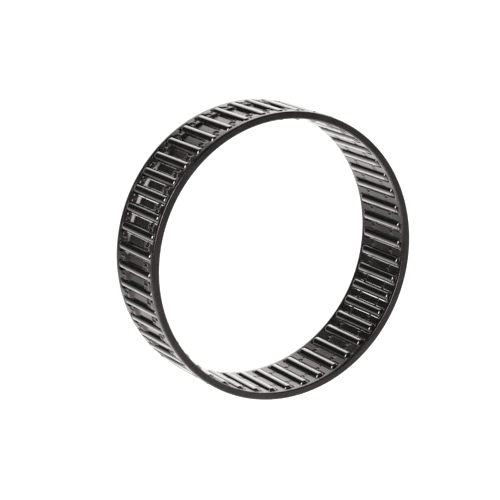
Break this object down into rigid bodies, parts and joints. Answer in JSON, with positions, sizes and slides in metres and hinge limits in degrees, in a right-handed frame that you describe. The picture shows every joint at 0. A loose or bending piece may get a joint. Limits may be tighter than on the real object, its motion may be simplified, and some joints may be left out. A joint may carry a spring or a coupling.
{
  "type": "needle roller bearing",
  "caption": "Ring-shaped needle roller and cage assembly: slim ground rollers in the pockets of a blackened steel cage, run between a shaft and a housing.",
  "frame": {"origin": "on the bearing's axis at mid-width", "axes": "+Z along the bearing's axis; +X through the axis of roller_01"},
  "size_m": [0.1079, 0.108, 0.0298],
  "materials": {
    "cage_steel": "black oxide over fine turning, satin",
    "roller_steel": "ground and polished, bright"
  },
  "bodies": {
    "cage": {"cage": "cage_steel"},
    "roller_01": {"roller_01": "roller_steel"},
    "roller_02": {"roller_02": "roller_steel"},
    "roller_03": {"roller_03": "roller_steel"},
    "roller_04": {"roller_04": "roller_steel"},
    "roller_05": {"roller_05": "roller_steel"},
    "roller_06": {"roller_06": "roller_steel"},
    "roller_07": {"roller_07": "roller_steel"},
    "roller_08": {"roller_08": "roller_steel"},
    "roller_09": {"roller_09": "roller_steel"},
    "roller_10": {"roller_10": "roller_steel"},
    "roller_11": {"roller_11": "roller_steel"},
    "roller_12": {"roller_12": "roller_steel"},
    "roller_13": {"roller_13": "roller_steel"},
    "roller_14": {"roller_14": "roller_steel"},
    "roller_15": {"roller_15": "roller_steel"},
    "roller_16": {"roller_16": "roller_steel"},
    "roller_17": {"roller_17": "roller_steel"},
    "roller_18": {"roller_18": "roller_steel"},
    "roller_19": {"roller_19": "roller_steel"},
    "roller_20": {"roller_20": "roller_steel"},
    "roller_21": {"roller_21": "roller_steel"},
    "roller_22": {"roller_22": "roller_steel"},
    "roller_23": {"roller_23": "roller_steel"},
    "roller_24": {"roller_24": "roller_steel"},
    "roller_25": {"roller_25": "roller_steel"},
    "roller_26": {"roller_26": "roller_steel"},
    "roller_27": {"roller_27": "roller_steel"},
    "roller_28": {"roller_28": "roller_steel"},
    "roller_29": {"roller_29": "roller_steel"},
    "roller_30": {"roller_30": "roller_steel"},
    "roller_31": {"roller_31": "roller_steel"},
    "roller_32": {"roller_32": "roller_steel"},
    "roller_33": {"roller_33": "roller_steel"},
    "roller_34": {"roller_34": "roller_steel"},
    "roller_35": {"roller_35": "roller_steel"},
    "roller_36": {"roller_36": "roller_steel"},
    "roller_37": {"roller_37": "roller_steel"},
    "roller_38": {"roller_38": "roller_steel"},
    "roller_39": {"roller_39": "roller_steel"},
    "roller_40": {"roller_40": "roller_steel"},
    "roller_41": {"roller_41": "roller_steel"},
    "roller_42": {"roller_42": "roller_steel"},
    "roller_43": {"roller_43": "roller_steel"},
    "roller_44": {"roller_44": "roller_steel"},
    "roller_45": {"roller_45": "roller_steel"},
    "roller_46": {"roller_46": "roller_steel"},
    "roller_47": {"roller_47": "roller_steel"}
  },
  "joints": [
    {"name": "roller_01_spin", "type": "hinge", "parent": "cage", "child": "roller_01", "pos_m": [0.052, 0, 0], "axis": [0, 0, 1], "continuous": true},
    {"name": "roller_02_spin", "type": "hinge", "parent": "cage", "child": "roller_02", "pos_m": [0.05154, 0.00693, 0], "axis": [0, 0, 1], "continuous": true},
    {"name": "roller_03_spin", "type": "hinge", "parent": "cage", "child": "roller_03", "pos_m": [0.05015, 0.01374, 0], "axis": [0, 0, 1], "continuous": true},
    {"name": "roller_04_spin", "type": "hinge", "parent": "cage", "child": "roller_04", "pos_m": [0.04787, 0.0203, 0], "axis": [0, 0, 1], "continuous": true},
    {"name": "roller_05_spin", "type": "hinge", "parent": "cage", "child": "roller_05", "pos_m": [0.04474, 0.0265, 0], "axis": [0, 0, 1], "continuous": true},
    {"name": "roller_06_spin", "type": "hinge", "parent": "cage", "child": "roller_06", "pos_m": [0.04081, 0.03223, 0], "axis": [0, 0, 1], "continuous": true},
    {"name": "roller_07_spin", "type": "hinge", "parent": "cage", "child": "roller_07", "pos_m": [0.03615, 0.03738, 0], "axis": [0, 0, 1], "continuous": true},
    {"name": "roller_08_spin", "type": "hinge", "parent": "cage", "child": "roller_08", "pos_m": [0.03085, 0.04186, 0], "axis": [0, 0, 1], "continuous": true},
    {"name": "roller_09_spin", "type": "hinge", "parent": "cage", "child": "roller_09", "pos_m": [0.02499, 0.0456, 0], "axis": [0, 0, 1], "continuous": true},
    {"name": "roller_10_spin", "type": "hinge", "parent": "cage", "child": "roller_10", "pos_m": [0.01869, 0.04853, 0], "axis": [0, 0, 1], "continuous": true},
    {"name": "roller_11_spin", "type": "hinge", "parent": "cage", "child": "roller_11", "pos_m": [0.01205, 0.05058, 0], "axis": [0, 0, 1], "continuous": true},
    {"name": "roller_12_spin", "type": "hinge", "parent": "cage", "child": "roller_12", "pos_m": [0.0052, 0.05174, 0], "axis": [0, 0, 1], "continuous": true},
    {"name": "roller_13_spin", "type": "hinge", "parent": "cage", "child": "roller_13", "pos_m": [-0.00174, 0.05197, 0], "axis": [0, 0, 1], "continuous": true},
    {"name": "roller_14_spin", "type": "hinge", "parent": "cage", "child": "roller_14", "pos_m": [-0.00865, 0.05128, 0], "axis": [0, 0, 1], "continuous": true},
    {"name": "roller_15_spin", "type": "hinge", "parent": "cage", "child": "roller_15", "pos_m": [-0.01541, 0.04967, 0], "axis": [0, 0, 1], "continuous": true},
    {"name": "roller_16_spin", "type": "hinge", "parent": "cage", "child": "roller_16", "pos_m": [-0.02189, 0.04717, 0], "axis": [0, 0, 1], "continuous": true},
    {"name": "roller_17_spin", "type": "hinge", "parent": "cage", "child": "roller_17", "pos_m": [-0.02798, 0.04383, 0], "axis": [0, 0, 1], "continuous": true},
    {"name": "roller_18_spin", "type": "hinge", "parent": "cage", "child": "roller_18", "pos_m": [-0.03357, 0.03971, 0], "axis": [0, 0, 1], "continuous": true},
    {"name": "roller_19_spin", "type": "hinge", "parent": "cage", "child": "roller_19", "pos_m": [-0.03857, 0.03488, 0], "axis": [0, 0, 1], "continuous": true},
    {"name": "roller_20_spin", "type": "hinge", "parent": "cage", "child": "roller_20", "pos_m": [-0.04287, 0.02943, 0], "axis": [0, 0, 1], "continuous": true},
    {"name": "roller_21_spin", "type": "hinge", "parent": "cage", "child": "roller_21", "pos_m": [-0.04641, 0.02345, 0], "axis": [0, 0, 1], "continuous": true},
    {"name": "roller_22_spin", "type": "hinge", "parent": "cage", "child": "roller_22", "pos_m": [-0.04912, 0.01706, 0], "axis": [0, 0, 1], "continuous": true},
    {"name": "roller_23_spin", "type": "hinge", "parent": "cage", "child": "roller_23", "pos_m": [-0.05096, 0.01036, 0], "axis": [0, 0, 1], "continuous": true},
    {"name": "roller_24_spin", "type": "hinge", "parent": "cage", "child": "roller_24", "pos_m": [-0.05188, 0.00347, 0], "axis": [0, 0, 1], "continuous": true},
    {"name": "roller_25_spin", "type": "hinge", "parent": "cage", "child": "roller_25", "pos_m": [-0.05188, -0.00347, 0], "axis": [0, 0, 1], "continuous": true},
    {"name": "roller_26_spin", "type": "hinge", "parent": "cage", "child": "roller_26", "pos_m": [-0.05096, -0.01036, 0], "axis": [0, 0, 1], "continuous": true},
    {"name": "roller_27_spin", "type": "hinge", "parent": "cage", "child": "roller_27", "pos_m": [-0.04912, -0.01706, 0], "axis": [0, 0, 1], "continuous": true},
    {"name": "roller_28_spin", "type": "hinge", "parent": "cage", "child": "roller_28", "pos_m": [-0.04641, -0.02345, 0], "axis": [0, 0, 1], "continuous": true},
    {"name": "roller_29_spin", "type": "hinge", "parent": "cage", "child": "roller_29", "pos_m": [-0.04287, -0.02943, 0], "axis": [0, 0, 1], "continuous": true},
    {"name": "roller_30_spin", "type": "hinge", "parent": "cage", "child": "roller_30", "pos_m": [-0.03857, -0.03488, 0], "axis": [0, 0, 1], "continuous": true},
    {"name": "roller_31_spin", "type": "hinge", "parent": "cage", "child": "roller_31", "pos_m": [-0.03357, -0.03971, 0], "axis": [0, 0, 1], "continuous": true},
    {"name": "roller_32_spin", "type": "hinge", "parent": "cage", "child": "roller_32", "pos_m": [-0.02798, -0.04383, 0], "axis": [0, 0, 1], "continuous": true},
    {"name": "roller_33_spin", "type": "hinge", "parent": "cage", "child": "roller_33", "pos_m": [-0.02189, -0.04717, 0], "axis": [0, 0, 1], "continuous": true},
    {"name": "roller_34_spin", "type": "hinge", "parent": "cage", "child": "roller_34", "pos_m": [-0.01541, -0.04967, 0], "axis": [0, 0, 1], "continuous": true},
    {"name": "roller_35_spin", "type": "hinge", "parent": "cage", "child": "roller_35", "pos_m": [-0.00865, -0.05128, 0], "axis": [0, 0, 1], "continuous": true},
    {"name": "roller_36_spin", "type": "hinge", "parent": "cage", "child": "roller_36", "pos_m": [-0.00174, -0.05197, 0], "axis": [0, 0, 1], "continuous": true},
    {"name": "roller_37_spin", "type": "hinge", "parent": "cage", "child": "roller_37", "pos_m": [0.0052, -0.05174, 0], "axis": [0, 0, 1], "continuous": true},
    {"name": "roller_38_spin", "type": "hinge", "parent": "cage", "child": "roller_38", "pos_m": [0.01205, -0.05058, 0], "axis": [0, 0, 1], "continuous": true},
    {"name": "roller_39_spin", "type": "hinge", "parent": "cage", "child": "roller_39", "pos_m": [0.01869, -0.04853, 0], "axis": [0, 0, 1], "continuous": true},
    {"name": "roller_40_spin", "type": "hinge", "parent": "cage", "child": "roller_40", "pos_m": [0.02499, -0.0456, 0], "axis": [0, 0, 1], "continuous": true},
    {"name": "roller_41_spin", "type": "hinge", "parent": "cage", "child": "roller_41", "pos_m": [0.03085, -0.04186, 0], "axis": [0, 0, 1], "continuous": true},
    {"name": "roller_42_spin", "type": "hinge", "parent": "cage", "child": "roller_42", "pos_m": [0.03615, -0.03738, 0], "axis": [0, 0, 1], "continuous": true},
    {"name": "roller_43_spin", "type": "hinge", "parent": "cage", "child": "roller_43", "pos_m": [0.04081, -0.03223, 0], "axis": [0, 0, 1], "continuous": true},
    {"name": "roller_44_spin", "type": "hinge", "parent": "cage", "child": "roller_44", "pos_m": [0.04474, -0.0265, 0], "axis": [0, 0, 1], "continuous": true},
    {"name": "roller_45_spin", "type": "hinge", "parent": "cage", "child": "roller_45", "pos_m": [0.04787, -0.0203, 0], "axis": [0, 0, 1], "continuous": true},
    {"name": "roller_46_spin", "type": "hinge", "parent": "cage", "child": "roller_46", "pos_m": [0.05015, -0.01374, 0], "axis": [0, 0, 1], "continuous": true},
    {"name": "roller_47_spin", "type": "hinge", "parent": "cage", "child": "roller_47", "pos_m": [0.05154, -0.00693, 0], "axis": [0, 0, 1], "continuous": true}
  ]
}
